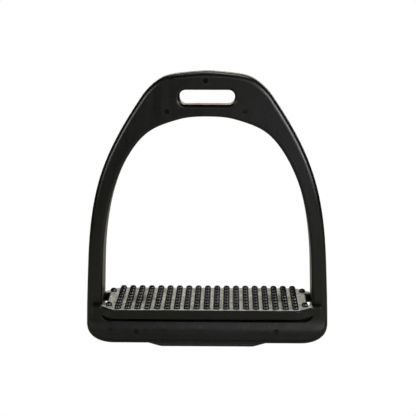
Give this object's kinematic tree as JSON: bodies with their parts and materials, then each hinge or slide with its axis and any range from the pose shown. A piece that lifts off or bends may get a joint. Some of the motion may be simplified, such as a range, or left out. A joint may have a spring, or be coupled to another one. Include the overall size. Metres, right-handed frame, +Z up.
{
  "type": "stirrup iron",
  "caption": "Black stirrup iron: one-piece moulded frame with a leather slot in its flat head and a cushioned tread with a perforated metal plate and domed rubber studs.",
  "frame": {"origin": "middle of the flat underside of the base pad, under the middle of the iron", "axes": "+X along the tread to the right as seen from the front, +Y towards the back, +Z up towards the leather slot"},
  "size_m": [0.1394, 0.0484, 0.1591],
  "materials": {
    "satin_black_nylon": "satin moulded black polymer",
    "tray_black_nylon": "fine-grained black polymer",
    "stud_rubber": "glossy black moulded rubber",
    "zinc_plate": "dull zinc-plated sheet, faintly mottled",
    "pad_black_rubber": "matt black rubber",
    "bolt_steel": "plain stainless steel",
    "bushing_brass": "turned brass",
    "buffer_rubber": "matt black rubber"
  },
  "bodies": {
    "frame": {"frame": "satin_black_nylon", "bushing_left": "bushing_brass", "bushing_right": "bushing_brass", "nut_washer_left": "bolt_steel", "nut_washer_right": "bolt_steel", "buffer_left": "buffer_rubber", "buffer_right": "buffer_rubber", "base_pad": "pad_black_rubber", "pad_screws": "bolt_steel", "pad_inserts": "bushing_brass"},
    "tread": {"tread_tray": "tray_black_nylon", "stud_mat": "stud_rubber", "tread_plate": "zinc_plate", "guide_bolt_left": "bolt_steel", "guide_bolt_right": "bolt_steel", "lock_nut_left": "bolt_steel", "lock_nut_right": "bolt_steel"}
  },
  "joints": [
    {"name": "tread_cushion", "type": "slide", "parent": "frame", "child": "tread", "axis": [0, 0, -1], "range_m": [0, 0.002], "stiffness_N_per_m": 40000, "deforming": ["buffer_left", "buffer_right"]}
  ]
}
